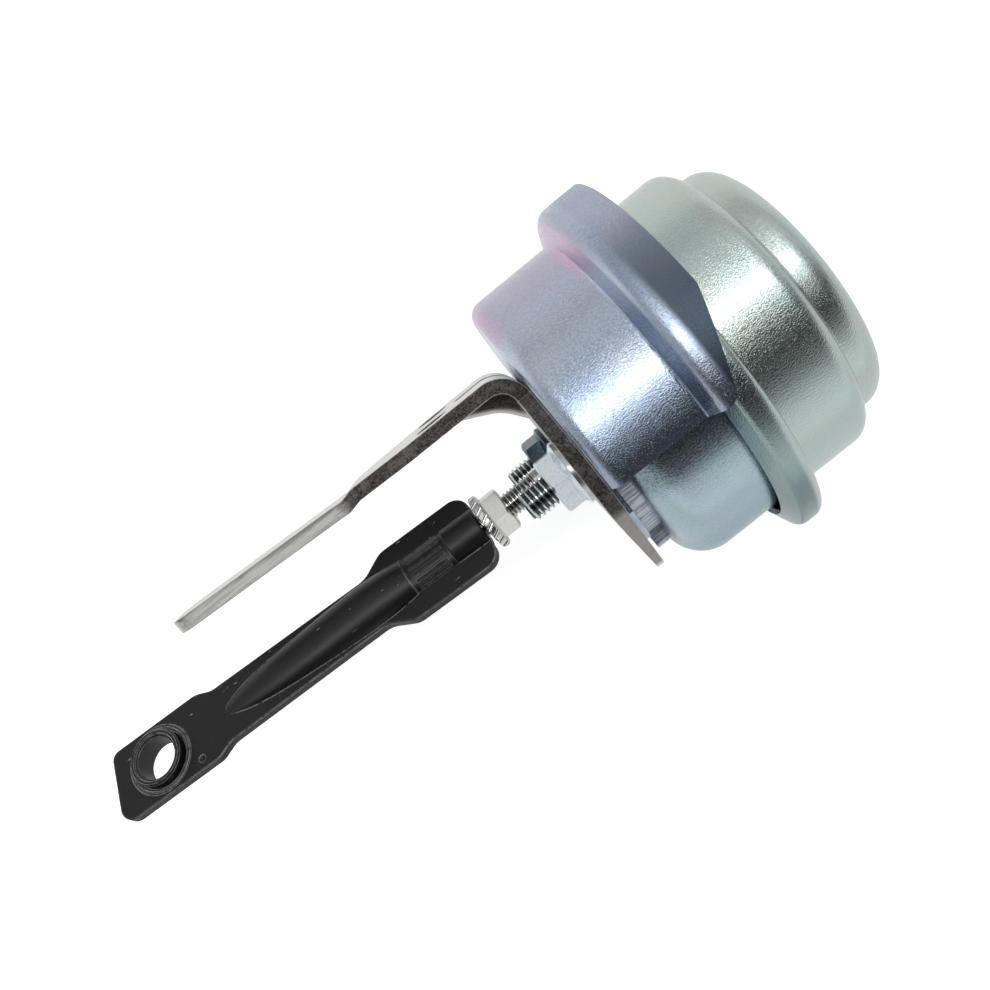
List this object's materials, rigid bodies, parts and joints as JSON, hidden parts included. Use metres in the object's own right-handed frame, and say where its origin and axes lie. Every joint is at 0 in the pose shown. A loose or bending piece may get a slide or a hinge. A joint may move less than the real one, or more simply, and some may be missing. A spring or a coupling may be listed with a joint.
{
  "type": "wastegate actuator",
  "caption": "Diaphragm can with stepped crimped housing, half heat shield, angled mounting bracket, studs and a sliding rod that carries a long flat link with a bushed eye.",
  "frame": {"origin": "midway between the two bolt holes, on the outer face of the bracket arm", "axes": "+X along the rod from the can towards the eye, +Y from the bracket arm towards the rod, +Z along the line of the two studs, away from the hose nipple"},
  "size_m": [0.1557, 0.0725, 0.0841],
  "materials": {
    "can_zinc": "bright zinc, fine grain",
    "shield_zinc": "blue passivated zinc, satin",
    "spacer_steel": "zinc over a sheared edge",
    "bracket_steel": "bare steel, dark sheared edge",
    "stud_zinc": "bright zinc",
    "nut_zinc": "bright zinc",
    "dark_nut": "blue passivated zinc",
    "bush_brass": "plain bearing metal",
    "seal_rubber": "matt",
    "rod_steel": "ground, bright",
    "inner_steel": "zinc plated",
    "diaphragm_rubber": "matt, fabric backed",
    "spring_steel": "oiled spring wire",
    "washer_zinc": "bright zinc",
    "black_oxide": "black oxide, satin",
    "eye_steel": "black oxide, turned"
  },
  "bodies": {
    "housing": {"front_can": "can_zinc", "rear_can": "can_zinc", "hose_nipple": "can_zinc", "heat_shield": "shield_zinc", "spacer_disc": "spacer_steel", "mounting_bracket": "bracket_steel", "stud_near": "stud_zinc", "stud_far": "stud_zinc", "flange_nut_near": "nut_zinc", "flange_nut_far": "dark_nut", "guide_bush": "bush_brass", "rod_seal": "seal_rubber", "stop_ring": "seal_rubber", "diaphragm": "diaphragm_rubber", "return_spring": "spring_steel", "spring_seat": "inner_steel"},
    "rod": {"actuator_rod": "rod_steel", "backing_plate": "inner_steel", "piston_cup": "inner_steel", "rivet_washer": "inner_steel", "lock_nut": "nut_zinc", "spring_washer": "washer_zinc", "link_bar": "black_oxide", "eye_bush": "eye_steel"}
  },
  "joints": [
    {"name": "rod_stroke", "type": "slide", "parent": "housing", "child": "rod", "axis": [1, 0, 0], "range_m": [-0.01, 0], "stiffness_N_per_m": 5000, "springref_m": 0.01, "deforming": ["diaphragm", "return_spring"]}
  ]
}
